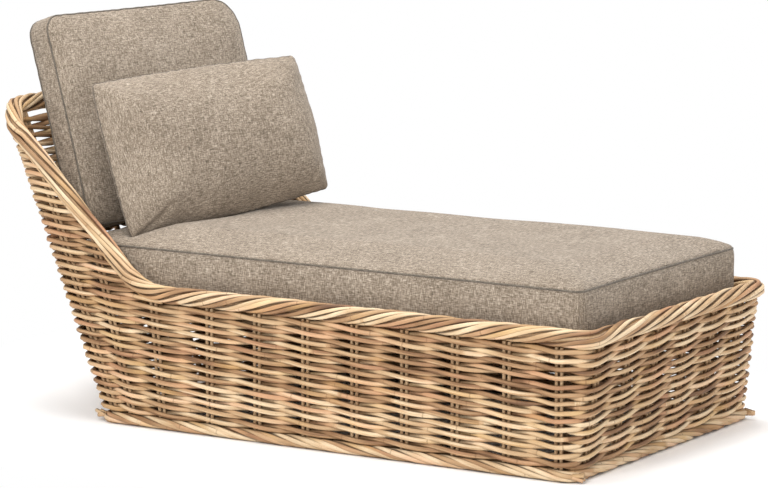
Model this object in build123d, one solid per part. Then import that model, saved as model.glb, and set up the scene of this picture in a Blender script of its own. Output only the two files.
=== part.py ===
"""Rattan sun lounger: a woven body round a pole frame, with a seat cushion, a back cushion and a pillow.

Millimetres. +Z is up, +Y points to the raked head and X runs across. The origin lies on the floor under
the middle of the lounger. The body is drawn with y = 0 at the foot's floor edge and moved when it is written.
"""

import os
from math import cos, hypot, radians, sin, sqrt, tan

from build123d import *

# Rattan and pole thicknesses
strand = 9.4
stake = 8.0
stake_spacing = 13.0
pole = 26.0
bar = 20.0
top_pole = 22.0
upright = 14.0
binding = 2.0
snug = 0.2

# Woven body, over the weave
body_width = 838.0
floor_length = 1254.0
rim_height = 313.0
head_height = 714.0
foot_flare = 41.0
head_rake = 22.5
arm_rise = 45.0
arm_start = 116.0
corner_radius = 36.0

# Rim and base border
rim_wrap = 9.8
arm_bend_radius = 150.0
rim_corner_radius = 30.0
head_corner_run = 44.0
head_corner_drop = 42.0
head_corner_radius = 45.0
border_height = 28.0
border_proud = 6.0
border_round = 11.0

# Stakes: one pair in each place, spread like a fan towards the head
side_pair_start = 45.0
side_pair_pitch = 129.5
foot_pair_pitch = 133.0
foot_pair_shift = -20.0
foot_pairs = 6
straight_pairs = 8
fan_leans = (5.0, 14.5, 20.0)
fan_pitch_shares = (1.0, 0.62, 0.36)
head_uprights = 3

# Frame
rail_lift = 3.0
deck_height = 292.0
slat_thickness = 12.0
slat_width = 44.0
slat_gap = 18.0
slat_round = 3.0
binding_length = 24.0
binding_offset = 9.0
screw_shank = 4.5
screw_head = 9.0
screw_head_height = 3.0
screw_length = 60.0
screw_stagger = 6.0
nail_shank = 2.2
nail_head = 5.0
nail_head_height = 1.2
nail_length = 28.0

# Cushions
soft_gap = 0.3
cover_cloth = 2.0
piping = 5.0
piping_relief = 0.8
zip_width = 9.0
zip_end_margin = 60.0

seat_width = 744.0
seat_foot_gap = 18.0
seat_boxing = 116.0
seat_crown = 25.0
seat_corner = 34.0
seat_draw_in = 5.0
seat_fullness = 1.5

back_width = 638.0
back_height = 510.0
back_boxing = 62.0
back_crown = 33.0
back_corner = 52.0
back_draw_in = 7.0
back_fullness = 4.0
back_yaw = 9.0
back_lean = 16.8
back_offset = -2.0

pillow_width = 618.0
pillow_height = 358.0
pillow_crown = 74.0
pillow_corner = 16.0
pillow_draw_in = 15.0
pillow_yaw = 17.0
pillow_lean = 17.2
pillow_roll = 5.0
pillow_offset = -33.0

# How a crown rises from its seam: how far in, as a share of half the width, and its share of the height there
crown_inset_shares = (0.0, 0.03, 0.09, 0.18, 0.31, 0.48, 0.7)
boxed_rise_shares = (0.0, 0.36, 0.64, 0.83, 0.94, 0.99, 1.0)
knife_inset_shares = (0.0, 0.025, 0.08, 0.18, 0.32, 0.5, 0.72)
knife_rise_shares = (0.0, 0.2, 0.42, 0.66, 0.85, 0.96, 1.0)
crown_corner_share = 0.25
crown_corner_limit_share = 0.7
settle_steps = 12
settle_share = 0.4

# Sizes that follow from the ones above
wall = 2 * strand + stake
rim_radius = top_pole / 2 + rim_wrap
half_body = body_width / 2
wall_axis = half_body - wall / 2
rake = radians(head_rake)
rise = radians(arm_rise)
foot_slope = foot_flare / rim_height
foot_cos = 1 / hypot(1, foot_slope)
inner_corner = corner_radius - wall
clear_of_body = floor_length
pole_radius = pole / 2
bar_radius = bar / 2


def foot_face(z, inset=0.0):
    """Place of the foot wall's face at a height, going in from its outer face."""
    return inset / foot_cos - foot_slope * z


def head_face(z, inset=0.0):
    """Place of the head wall's face at a height, going in from its outer face."""
    return floor_length + z * tan(rake) - inset / cos(rake)


head_axis_y = head_face(head_height, wall / 2)
foot_axis_y = foot_face(rim_height, wall / 2)
bend_y = floor_length - arm_start
middle_y = (foot_axis_y + head_axis_y) / 2


def edges_face(*curves):
    """A flat face inside curves that close on each other."""
    return make_face([edge for curve in curves for edge in curve.edges()])


def rod(start, end, radius):
    """A round pole between two points."""
    start, end = Vector(*start), Vector(*end)
    return Solid.make_cylinder(radius, (end - start).length, Plane(origin=start, z_dir=end - start))


def both_sides(shape):
    """A piece on the left and its mirror image on the right."""
    return [shape, shape.mirror(Plane.YZ)]


# Woven walls

def body_outline(z, inset):
    """The body's rounded outline at a height, going in from its outer face."""
    low, high = foot_face(z, inset), head_face(z, inset)
    outline = RectangleRounded(body_width - 2 * inset, high - low, corner_radius - inset)
    return (Pos(0, (low + high) / 2, z) * outline).face().outer_wire()


def body_solid(inset):
    """The body's form inside a depth from its outer face, from the base border to the head rim's axis."""
    return Solid.make_loft([body_outline(z, inset) for z in (border_height, head_height)], ruled=True)


def side_silhouette():
    """Everything under the rim's axis, seen from the side: level, then up along the arm."""
    run = clear_of_body
    top = FilletPolyline(
        (-run, rim_height), (bend_y, rim_height), (bend_y + run, rim_height + run * tan(rise)),
        radius=arm_bend_radius,
    )
    rest = Polyline(top @ 1, (bend_y + run, -border_height), (-run, -border_height), top @ 0)
    return extrude(Plane.YZ * edges_face(top, rest), amount=body_width, both=True)


def front_silhouette():
    """Everything under the head rim's axis, seen from the front, with its sloped corners."""
    half, shoulder = wall_axis, wall_axis - head_corner_run
    top = Polyline(
        (-body_width, head_height - head_corner_drop), (-half, head_height - head_corner_drop),
        (-shoulder, head_height), (shoulder, head_height), (half, head_height - head_corner_drop),
        (body_width, head_height - head_corner_drop),
    )
    rest = Polyline(top @ 1, (body_width, -border_height), (-body_width, -border_height), top @ 0)
    outline = Plane.XZ * edges_face(top, rest)
    return Pos(0, middle_y, 0) * extrude(outline, amount=clear_of_body, both=True)


def sector(side, end, low_z, high_z):
    """A block, leaning with the walls, round one wall's straight run or round the corner of a side and an end."""
    outer, inner = half_body + corner_radius, half_body - corner_radius
    low_x, high_x = {"left": (-outer, -inner), "right": (inner, outer), "": (-inner, inner)}[side]
    outlines = []
    for z in (low_z, high_z):
        foot, head = foot_face(z), head_face(z)
        low_y, high_y = {
            "foot": (foot - corner_radius, foot + corner_radius),
            "head": (head - corner_radius, head + corner_radius),
            "": (foot + corner_radius, head - corner_radius),
        }[end]
        corners = ((low_x, low_y), (high_x, low_y), (high_x, high_y), (low_x, high_y))
        outlines.append(Wire.make_polygon([Vector(x, y, z) for x, y in corners], close=True))
    return Solid.make_loft(outlines, ruled=True)


def body_region(rims):
    """The whole body's form from the base border up to the rim."""
    return cut_all((body_solid(0.0) & side_silhouette() & front_silhouette()).solid(), rims)


def rim_edges():
    """The rim's axis from the middle of the foot, round the left side and arm, to the middle of the head."""
    corner_y = bend_y + (head_height - head_corner_drop - rim_height) / tan(rise)
    path = FilletPolyline(
        (0, foot_axis_y, rim_height),
        (-wall_axis, foot_axis_y, rim_height),
        (-wall_axis, bend_y, rim_height),
        (-wall_axis, corner_y, head_height - head_corner_drop),
        (-wall_axis + head_corner_run, head_axis_y, head_height),
        (0, head_axis_y, head_height),
        radius=[rim_corner_radius, arm_bend_radius, head_corner_radius, head_corner_radius],
    )
    return path.edges().sort_by(lambda edge: edge.center().Z * edge.center().Y + edge.center().Y)


def tube_along(edges, radius):
    """A round tube along joined edges, its seam at the top."""
    path = Wire(edges)
    return sweep(Plane(origin=path @ 0, x_dir=(0, 0, 1), z_dir=path % 0) * Circle(radius), path=path)


def rim_paths():
    """The rim's axis as four runs: foot, left, right and head."""
    edges = rim_edges()
    foot, side, head = edges[:2], edges[2:5], edges[5:]
    mirrored = [[edge.mirror(Plane.YZ) for edge in run] for run in (foot, side, head)]
    return {
        "foot": [*foot, *mirrored[0]],
        "left": side,
        "right": mirrored[1],
        "head": [*head, *mirrored[2]],
    }


def pair_places():
    """Where the stakes of each side pair stand on the floor, and how far they lean to the head."""
    places = [(side_pair_start + k * side_pair_pitch, 0.0) for k in range(straight_pairs)]
    y = places[-1][0]
    for lean, pitch_share in zip(fan_leans, fan_pitch_shares):
        y += side_pair_pitch * pitch_share
        places.append((y, lean))
    return places


def side_stakes(radius):
    """The left wall's stakes, longer than the wall, which trims them."""
    rods = []
    for y, lean in pair_places():
        for shift in (-stake_spacing / 2, stake_spacing / 2):
            top = head_height * tan(radians(lean))
            rods.append(rod((-wall_axis, y + shift, 0), (-wall_axis, y + shift + top, head_height), radius))
    return rods


def end_stakes(face, off_middle, radius):
    """The foot's or the head's stakes, in pairs, standing inside that wall."""
    rods = []
    for k in range(foot_pairs):
        x = off_middle + (k - (foot_pairs - 1) / 2) * foot_pair_pitch
        for shift in (-stake_spacing / 2, stake_spacing / 2):
            low = (x + shift, face(0, wall / 2), 0)
            high = (x + shift, face(head_height, wall / 2), head_height)
            rods.append(rod(low, high, radius))
    return rods


def head_wall_uprights(radius):
    """The thicker uprights that carry the head rail, midway between the stakes."""
    places = [(k - (head_uprights - 1) / 2) * foot_pair_pitch for k in range(head_uprights)]
    low_y, high_y = head_face(0, wall / 2), head_face(head_height, wall / 2)
    return [rod((x, low_y, 0), (x, high_y, head_height), radius) for x in places]


def cut_all(solid, tools):
    """One solid less many others."""
    return (solid - tools).solid() if tools else solid


def trimmed(rods, region):
    """The part of each rod that lies inside the body's form."""
    return [(one & region).solid() for one in rods]


# Frame

rail_x = half_body - wall - binding - pole_radius - soft_gap
base_z = rail_lift + pole_radius
rail_z = deck_height - slat_thickness - pole_radius
border_inner = wall + border_proud
base_foot_y = wall + inner_corner + pole_radius
base_head_y = floor_length + border_proud - border_inner - inner_corner - pole_radius
seat_foot_y = foot_face(rail_z - pole_radius, wall) + inner_corner + pole_radius
seat_head_y = head_face(rail_z - pole_radius, wall) - inner_corner / cos(rake) - pole_radius
cross_z = rail_z - pole_radius - bar_radius - snug
post_rows = 2
post_pitch = (base_head_y - base_foot_y) / (post_rows + 1)
post_ys = [base_foot_y + post_pitch * (k + 1) for k in range(post_rows)]


def base_border():
    """The rope border's solid along the floor, in four runs that meet on the corners' diagonals."""
    length = floor_length + 2 * border_proud
    outer = RectangleRounded(body_width + 2 * border_proud, length, corner_radius + border_proud)
    inner = RectangleRounded(body_width - 2 * wall, length - 2 * border_inner, inner_corner)
    solid = extrude(outer, amount=border_height)
    edges = solid.edges().group_by(Axis.Z)
    solid = fillet(edges[0] + edges[-1], border_round)
    return Pos(0, floor_length / 2, 0) * (solid - extrude(inner, amount=border_height))


def coped(start, end, radius, *others):
    """A pole whose ends are hollowed to sit on the poles that it meets."""
    return cut_all(rod(start, end, radius), [rod(a, b, r + snug) for a, b, r in others])


def long_rail(x, foot_y, head_y, z):
    """A rail's ends and radius, just past the cross rails that it meets."""
    return (x, foot_y - pole_radius, z), (x, head_y + pole_radius, z), pole_radius


left_base, right_base = (long_rail(x, base_foot_y, base_head_y, base_z) for x in (-rail_x, rail_x))
left_seat, right_seat = (long_rail(x, seat_foot_y, seat_head_y, rail_z) for x in (-rail_x, rail_x))
foot_seat = ((-rail_x, seat_foot_y, rail_z), (rail_x, seat_foot_y, rail_z), pole_radius)
head_seat = ((-rail_x, seat_head_y, rail_z), (rail_x, seat_head_y, rail_z), pole_radius)


def post_line(y):
    """A post's axis on the left, from the base rail's axis to the seat rail's."""
    top_y = seat_head_y if y == base_head_y else y
    return (-rail_x, y, base_z), (-rail_x, top_y, rail_z)


def post_pair(y):
    """Both posts at one place, as poles that others are hollowed for."""
    low, high = post_line(y)
    return (low, high, pole_radius), ((rail_x, *low[1:]), (rail_x, *high[1:]), pole_radius)


def post(y):
    """One left post between the base rail and the seat rail."""
    return coped(*post_line(y), pole_radius, left_base, left_seat)


def cross_pole(y, z, radius, *others):
    """A pole across the body between two poles or posts."""
    return coped((-rail_x, y, z), (rail_x, y, z), radius, *others)


def ring(point, direction):
    """One cane binding round a post."""
    plane = Plane(origin=Vector(*point), z_dir=Vector(*direction))
    hole = Circle(pole_radius + snug / 2)
    return extrude(plane * (Circle(pole_radius + binding) - hole), amount=binding_length)


def post_bindings(y):
    """The bindings at the foot and the top of one left post."""
    low, high = (Vector(*end) for end in post_line(y))
    along = (high - low).normalized()
    first = low + along * (pole_radius + binding_offset)
    last = high - along * (pole_radius + 2 * bar_radius + binding_offset + binding_length)
    return [ring(first, along), ring(last, along)]


def screw(point, direction, allowance=0.0):
    """A countersunk screw, head at the point; with an allowance, the hole that it sits in."""
    plane = Plane(origin=Vector(*point), z_dir=Vector(*direction))
    head = extrude(plane * Circle(screw_head / 2 + allowance), amount=screw_head_height + allowance)
    shank = extrude(plane * Circle(screw_shank / 2 + allowance), amount=screw_length + allowance)
    return (head + shank).solid()


def screw_places():
    """Where the left screws start and which way they go: into posts, and into the cross poles' ends."""
    places = []
    sunk = pole_radius - rail_lift / 2
    for y in (base_foot_y, *post_ys, base_head_y):
        low, high = (Vector(*end) for end in post_line(y))
        along = (high - low).normalized()
        places.append((low - along * sunk, along))
        places.append((high + along * sunk, along * -1))
        places.append((Vector(-rail_x - sunk, y + screw_stagger, base_z), Vector(1, 0, 0)))
    for y in (seat_foot_y - screw_stagger, seat_head_y + screw_stagger):
        places.append((Vector(-rail_x - sunk, y, rail_z), Vector(1, 0, 0)))
    return places


def slat_ys():
    """The middles of the seat slats, spread evenly over the seat rails."""
    low, high = seat_foot_y - pole_radius + slat_width / 2, seat_head_y + pole_radius - slat_width / 2
    count = int((high - low) / (slat_width + slat_gap)) + 1
    return [low + k * (high - low) / (count - 1) for k in range(count)]


def nail(allowance=0.0):
    """A slat nail at the origin, its head just under the slat's top."""
    top = deck_height - nail_head_height / 2
    head = Solid.make_cylinder(nail_head / 2 + allowance, deck_height - top, Plane((0, 0, top)))
    below = Plane((0, 0, top), z_dir=(0, 0, -1))
    shank = Solid.make_cylinder(nail_shank / 2 + allowance, nail_length, below)
    return (head + shank).solid()


def slat():
    """One seat slat with its two nail holes, across the origin."""
    section = Plane.YZ * Pos(0, deck_height - slat_thickness / 2) * RectangleRounded(
        slat_width, slat_thickness, slat_round
    )
    plank = extrude(section, amount=rail_x + pole_radius - snug, both=True)
    return cut_all(plank, [Pos(side * rail_x, 0, 0) * nail(snug / 2) for side in (-1, 1)])


# Cushions, drawn with their seam planes across Z and their width along X

def drawn_in_outline(width, height, corner, draw_in, z):
    """A cushion's outline: four sides drawn in at their middles that run smoothly into four rounded corners."""
    a, b = width / 2, height / 2
    centre = Vector(a - corner, b - corner, z)
    side_reach = (centre.Y ** 2 + draw_in ** 2) / (2 * draw_in)
    end_reach = (centre.X ** 2 + draw_in ** 2) / (2 * draw_in)
    on_side = centre + Vector(side_reach - draw_in, -centre.Y, 0) * (corner / side_reach)
    on_end = centre + Vector(-centre.X, end_reach - draw_in, 0) * (corner / end_reach)
    bow = centre + Vector(corner, corner, 0) / sqrt(2)
    curves = []
    for sx, sy in ((1, -1), (1, 1), (-1, 1), (-1, -1)):
        points = (on_side, bow, on_end) if sx * sy > 0 else (on_end, bow, on_side)
        curves.append(ThreePointArc(*[(sx * point.X, sy * point.Y, z) for point in points]))
    middles = ((a - draw_in, 0, z), (0, b - draw_in, z), (-a + draw_in, 0, z), (0, -b + draw_in, z))
    for k, middle in enumerate(middles):
        curves.append(ThreePointArc(curves[k] @ 1, middle, curves[(k + 1) % len(middles)] @ 0))
    return Wire([curve.edge() for curve in curves])


def crown(width, height, corner, draw_in, level, rise_by, inset_shares, rise_shares):
    """The outlines of the swelling form on one side of a seam, from the seam to its top."""
    outlines = []
    for inset_share, rise_share in zip(inset_shares, rise_shares):
        inset = inset_share * min(width, height) / 2
        room = min(width, height) / 2 - inset
        rounding = min(corner + inset * crown_corner_share, room * crown_corner_limit_share)
        outlines.append(drawn_in_outline(
            width - 2 * inset, height - 2 * inset, rounding,
            draw_in * (1 - inset_share) ** 2, level + rise_by * rise_share,
        ))
    return outlines


def boxed_form(width, height, boxing, front, back, corner, draw_in, fullness):
    """A boxed cushion: an upright band between two seams, with a crown outside one seam or both."""
    sizes = (width, height, corner, draw_in)
    middle = drawn_in_outline(width + 2 * fullness, height + 2 * fullness, corner, draw_in, 0)
    top = crown(*sizes, boxing / 2, front, crown_inset_shares, boxed_rise_shares)
    bottom = crown(*sizes, -boxing / 2, -back, crown_inset_shares, boxed_rise_shares)
    return Solid.make_loft([*(bottom[::-1] if back else bottom[:1]), middle, *top], ruled=True)


def knife_form(width, height, swell, corner, draw_in):
    """A knife-edged pillow: two crowns that meet at one seam."""
    sizes = (width, height, corner, draw_in)
    front, back = (crown(*sizes, 0, side * swell, knife_inset_shares, knife_rise_shares) for side in (1, -1))
    return Solid.make_loft([*back[:0:-1], *front], ruled=True)


def piping_along(width, height, corner, draw_in, z):
    """The round piping just outside a seam."""
    grow = piping + 2 * piping_relief
    path = drawn_in_outline(width + grow, height + grow, corner + grow / 2, draw_in, z)
    return tube_along(path.edges(), piping / 2)


def dressed(form_of, slot):
    """Cover, filling and zip of a soft form: form_of gives it at a depth under its surface."""
    shell = form_of(0.0) - form_of(cover_cloth)
    cover = (shell - slot(snug)).solid()
    zip_strip = (shell & slot(0.0)).solid()
    return cover, form_of(cover_cloth + soft_gap), zip_strip


def seat_length():
    """The seat cushion's length: from the foot rim to the head wall at the deck."""
    low = foot_axis_y + rim_radius + seat_foot_gap
    high = head_face(deck_height, wall) - piping - piping_relief - soft_gap
    return low, high


def seat_form(depth):
    """The seat cushion's form at a depth under its cloth."""
    low, high = seat_length()
    return boxed_form(
        seat_width - 2 * depth, high - low - 2 * depth, seat_boxing - 2 * depth, seat_crown, 0,
        seat_corner - depth, seat_draw_in, seat_fullness,
    )


def seat_slot(allowance):
    """The opening for the seat cushion's zip, along its head end."""
    low, high = seat_length()
    return Pos(0, (high - low) / 2, 0) * Box(
        seat_width - 2 * zip_end_margin + allowance, seat_corner, zip_width + allowance
    )


def back_form(depth):
    """The back cushion's form at a depth under its cloth."""
    return boxed_form(
        back_width - 2 * depth, back_height - 2 * depth, back_boxing - 2 * depth, back_crown, back_crown,
        back_corner - depth, back_draw_in, back_fullness,
    )


def back_slot(allowance):
    """The opening for the back cushion's zip, along its lower edge."""
    return Pos(0, -back_height / 2, 0) * Box(
        back_width - 2 * zip_end_margin + allowance, back_corner, zip_width + allowance
    )


def pillow_form(depth):
    """The pillow's form at a depth under its cloth."""
    return knife_form(
        pillow_width - 2 * depth, pillow_height - 2 * depth, pillow_crown - depth,
        pillow_corner, pillow_draw_in,
    )


def pillow_slot(allowance):
    """The opening for the pillow's zip, along its lower seam."""
    return Pos(0, -pillow_height / 2 + pillow_draw_in, 0) * Box(
        pillow_width / 2 + allowance, 2 * pillow_draw_in, zip_width + allowance
    )


def leaning(origin, yaw, lean, roll=0.0):
    """The plane of a cushion's front: turned about Z, leaned back and rolled in its own plane."""
    yaw, lean, roll = radians(yaw), radians(lean), radians(roll)
    across = Vector(cos(yaw), -sin(yaw), 0)
    front = Vector(-sin(yaw) * cos(lean), -cos(yaw) * cos(lean), sin(lean))
    up = front.cross(across)
    return Plane(origin=origin, x_dir=across * cos(roll) + up * sin(roll), z_dir=front)


def settled(form, moves):
    """How far a form travels when it is let go along each direction until it nearly touches what is there."""
    travel = Vector(0, 0, 0)
    for direction, support in moves:
        for _ in range(settle_steps):
            step = form.moved(Location(travel)).distance_to(support) - soft_gap
            if step < soft_gap * settle_share:
                break
            travel += Vector(*direction) * step
    return Location(travel)


# Build and write

nodes = {}

paths = rim_paths()
rim_solids = {name: tube_along(run, rim_radius) for name, run in paths.items()}
core_holes = {name: tube_along(run, top_pole / 2 + snug / 2) for name, run in paths.items()}
region = body_region(list(rim_solids.values()))

bores = [bore for left_bore in side_stakes(stake / 2 + snug) for bore in both_sides(left_bore)]
bores += end_stakes(foot_face, foot_pair_shift, stake / 2 + snug) + end_stakes(head_face, 0, stake / 2 + snug)
bores += head_wall_uprights(upright / 2 + snug)
weave = cut_all(region, [body_solid(wall), *bores])
runs = {"woven_side_left": ("left", ""), "woven_foot": ("", "foot"), "woven_head": ("", "head")}
for name, (side, end) in runs.items():
    nodes[name] = (weave & sector(side, end, border_height, head_height)).solid()
nodes["woven_side_right"] = nodes["woven_side_left"].mirror(Plane.YZ)
for end in ("foot", "head"):
    corner = (weave & sector("left", end, border_height, head_height)).solid()
    nodes[f"woven_corners_{end}"] = both_sides(corner)

side_rods = trimmed(side_stakes(stake / 2), region)
nodes["stakes_left"], nodes["stakes_right"] = side_rods, [one.mirror(Plane.YZ) for one in side_rods]
nodes["stakes_foot"] = trimmed(end_stakes(foot_face, foot_pair_shift, stake / 2), region)
nodes["stakes_head"] = trimmed(end_stakes(head_face, 0, stake / 2), region)
nodes["head_uprights"] = trimmed(head_wall_uprights(upright / 2), region)

for name in paths:
    nodes[f"rim_border_{name}"] = rim_solids[name] - core_holes[name]
    nodes[f"top_rail_{name}"] = tube_along(paths[name], top_pole / 2)

border = base_border()
border_span = (-border_height, 2 * border_height)
for side, end in (("left", ""), ("right", ""), ("", "foot"), ("", "head")):
    nodes[f"base_border_{side or end}"] = (border & sector(side, end, *border_span)).solid()
nodes["base_border_corners"] = [
    (border & sector(side, end, *border_span)).solid()
    for side in ("left", "right") for end in ("foot", "head")
]

post_places = (base_foot_y, *post_ys, base_head_y)
screws, holes = [], []
for place, direction in screw_places():
    screws += both_sides(screw(place, direction))
    holes += both_sides(screw(place, direction, snug / 2))
nail_spots = [Pos(side * rail_x, y, 0) for y in slat_ys() for side in (-1, 1)]
nail_holes = [spot * nail(snug / 2) for spot in nail_spots]

posts = [cut_all(post(y), [h for h in holes if abs(h.center().Y - y) < post_pitch / 2]) for y in post_places]
nodes["base_rail_left"] = cut_all(rod(*left_base), holes)
nodes["base_rail_right"] = cut_all(rod(*right_base), holes)
nodes["seat_rail_left"] = cut_all(rod(*left_seat), holes + nail_holes)
nodes["seat_rail_right"] = cut_all(rod(*right_seat), holes + nail_holes)
for name, y, z, rails in (
    ("base_rail_foot", base_foot_y, base_z, (left_base, right_base, *post_pair(base_foot_y))),
    ("base_rail_head", base_head_y, base_z, (left_base, right_base, *post_pair(base_head_y))),
    ("seat_rail_foot", seat_foot_y, rail_z, (left_seat, right_seat)),
    ("seat_rail_head", seat_head_y, rail_z, (left_seat, right_seat, *post_pair(base_head_y))),
):
    nodes[name] = cut_all(cross_pole(y, z, pole_radius, *rails), holes)
nodes["seat_centre_rail"] = coped(
    (0, seat_foot_y, rail_z), (0, seat_head_y, rail_z), pole_radius, foot_seat, head_seat
)
nodes["foot_posts"] = both_sides(posts[0])
nodes["middle_posts"] = [one for middle in posts[1:-1] for one in both_sides(middle)]
nodes["head_posts"] = both_sides(posts[-1])
nodes["base_cross_bars"] = [
    cut_all(cross_pole(y, base_z, bar_radius, left_base, right_base, *post_pair(y)), holes) for y in post_ys
]
nodes["seat_cross_bars"] = [
    cross_pole(y, cross_z, bar_radius, *post_pair(y)) for y in (base_foot_y, *post_ys)
]
nodes["cane_bindings"] = [one for y in post_places for band in post_bindings(y) for one in both_sides(band)]
nodes["frame_screws"] = screws
slat_piece, nail_piece = slat(), nail()
nodes["seat_slats"] = [Pos(0, y, 0) * slat_piece for y in slat_ys()]
nodes["slat_nails"] = [spot * nail_piece for spot in nail_spots]

seat_low, seat_high = seat_length()
seat_place = Pos(0, (seat_low + seat_high) / 2, deck_height + soft_gap + seat_boxing / 2)
seat_sizes = (seat_width, seat_high - seat_low, seat_corner, seat_draw_in)
seat_cover, seat_foam, seat_zip = dressed(seat_form, seat_slot)
nodes["seat_cushion_cover"] = seat_place * seat_cover
nodes["seat_cushion_foam"] = seat_place * seat_foam
nodes["seat_cushion_zip"] = seat_place * seat_zip
nodes["seat_cushion_piping"] = [
    seat_place * piping_along(*seat_sizes, level)
    for level in (seat_boxing / 2, piping / 2 - seat_boxing / 2)
]

seat_solid = seat_place * seat_form(0.0)
head_slab = extrude(
    Plane(origin=(0, head_face(0, wall), 0), x_dir=(1, 0, 0), z_dir=(0, cos(rake), -sin(rake)))
    * Rectangle(body_width, 2 * clear_of_body),
    amount=wall,
)
down, backwards = (0, 0, -1), (0, 1, 0)

back_plane = leaning(
    (back_offset, head_face(deck_height, wall) - back_height / 2, deck_height + seat_boxing + back_height),
    back_yaw, back_lean,
)
back_start = back_plane.location * back_form(0.0)
head_support = Compound(children=[head_slab, rim_solids["head"]])
back_place = settled(back_start, [
    (down, seat_solid), (backwards, head_support), (down, Compound(children=[seat_solid, head_support])),
]) * back_plane.location
back_sizes = (back_width, back_height, back_corner, back_draw_in)
back_cover, back_filling, back_zip = dressed(back_form, back_slot)
nodes["back_cushion_cover"] = back_place * back_cover
nodes["back_cushion_filling"] = back_place * back_filling
nodes["back_cushion_zip"] = back_place * back_zip
nodes["back_cushion_piping"] = [
    back_place * piping_along(*back_sizes, level) for level in (back_boxing / 2, -back_boxing / 2)
]

back_solid = back_place * back_form(0.0)
pillow_plane = leaning(
    (pillow_offset, back_solid.center().Y - pillow_height, deck_height + seat_boxing + pillow_height),
    pillow_yaw, pillow_lean, pillow_roll,
)
pillow_start = pillow_plane.location * pillow_form(0.0)
pillow_place = settled(pillow_start, [
    (down, seat_solid), (backwards, back_solid), (down, Compound(children=[seat_solid, back_solid])),
]) * pillow_plane.location
pillow_cover, pillow_filling, pillow_zip = dressed(pillow_form, pillow_slot)
nodes["pillow_cover"] = pillow_place * pillow_cover
nodes["pillow_filling"] = pillow_place * pillow_filling
nodes["pillow_zip"] = pillow_place * pillow_zip

os.makedirs("parts", exist_ok=True)
for name, shape in nodes.items():
    solids = shape if isinstance(shape, list) else shape.solids()
    placed = [Pos(0, -middle_y, 0) * solid for solid in solids]
    export_step(placed[0] if len(placed) == 1 else Compound(children=placed), f"parts/{name}.step")
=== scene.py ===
from math import atan2, cos, hypot, pi, radians, sin, tan

import bpy
import numpy as np
from mathutils import Matrix, Vector
from mathutils.bvhtree import BVHTree
from mathutils.kdtree import KDTree

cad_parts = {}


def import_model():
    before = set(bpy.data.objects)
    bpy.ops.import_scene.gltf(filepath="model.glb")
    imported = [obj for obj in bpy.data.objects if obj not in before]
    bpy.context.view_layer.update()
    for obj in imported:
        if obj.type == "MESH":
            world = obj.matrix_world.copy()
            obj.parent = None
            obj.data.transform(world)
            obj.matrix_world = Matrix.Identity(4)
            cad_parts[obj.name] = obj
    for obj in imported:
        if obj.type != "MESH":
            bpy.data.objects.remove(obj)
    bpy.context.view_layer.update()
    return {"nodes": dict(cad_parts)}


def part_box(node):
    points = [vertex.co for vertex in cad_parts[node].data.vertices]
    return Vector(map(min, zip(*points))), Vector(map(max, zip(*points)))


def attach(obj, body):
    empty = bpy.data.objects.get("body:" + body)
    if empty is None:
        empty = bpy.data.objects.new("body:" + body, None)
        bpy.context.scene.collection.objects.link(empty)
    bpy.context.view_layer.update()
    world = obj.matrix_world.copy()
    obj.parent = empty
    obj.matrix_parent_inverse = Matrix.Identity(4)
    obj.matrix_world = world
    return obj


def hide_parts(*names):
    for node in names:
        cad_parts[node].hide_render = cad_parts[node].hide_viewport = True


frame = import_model()

# Rattan sun lounger, in metres. The sizes repeat the solids' driving dimensions. In the lines that are laid
# out below, y is 0 at the foot's edge on the floor, and MIDDLE is taken off as each mesh is made.
STRAND = 0.0094
STAKE = 0.008
ROW_PITCH = 2 * STRAND
WALL = 2 * STRAND + STAKE
HALF_BODY = 0.419
WALL_AXIS = HALF_BODY - WALL / 2
FLOOR_LENGTH = 1.254
RIM_HEIGHT = 0.313
HEAD_HEIGHT = 0.714
FOOT_SLOPE = 0.041 / RIM_HEIGHT
RAKE = radians(22.5)
CORNER = 0.036
ARM_SLOPE = radians(45)
ARM_BEND = 0.150
ARM_START = 0.116
BEND_Y = FLOOR_LENGTH - ARM_START
RIM_RADIUS = 0.0208
RIM_CORNER = 0.030
HEAD_CORNER = 0.045
HEAD_CORNER_RUN = 0.044
HEAD_CORNER_DROP = 0.042
BORDER_HEIGHT = 0.028
BORDER_PROUD = 0.006
SIDE_PAIR_START = 0.045
SIDE_PAIR_PITCH = 0.1295
END_PAIR_PITCH = 0.133
FOOT_PAIR_SHIFT = -0.020
DECK_HEIGHT = 0.292
SEAT_BOXING = 0.116
BACK_BOXING = 0.062
# The side's pairs of stakes from the foot: their lean in degrees, how many, and their share of the pitch.
SIDE_FAN = ((0.0, 8, 1.0), (5.0, 1, 1.0), (14.5, 1, 0.62), (20.0, 1, 0.36))
FOOT_PAIRS = 3
HEAD_PAIRS = (2.5, 1.5, 1, 0.5, 0, -0.5, -1, -1.5, -2.5)
HEAD_UPRIGHTS = (2, 4, 6)


def foot_face(z, inset=WALL / 2):
    """Where the foot wall's middle, or another depth of it, is at a height."""
    return inset * hypot(1, FOOT_SLOPE) - FOOT_SLOPE * z


def head_face(z, inset=WALL / 2):
    """Where the head wall's middle, or another depth of it, is at a height."""
    return FLOOR_LENGTH + z * tan(RAKE) - inset / cos(RAKE)


MIDDLE = Vector((0, (foot_face(RIM_HEIGHT) + head_face(HEAD_HEIGHT)) / 2, 0))
UPWARDS = np.array([[0.0, 0.0, 1.0]])
draw = np.random.default_rng(7)


# Shader maths

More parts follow.
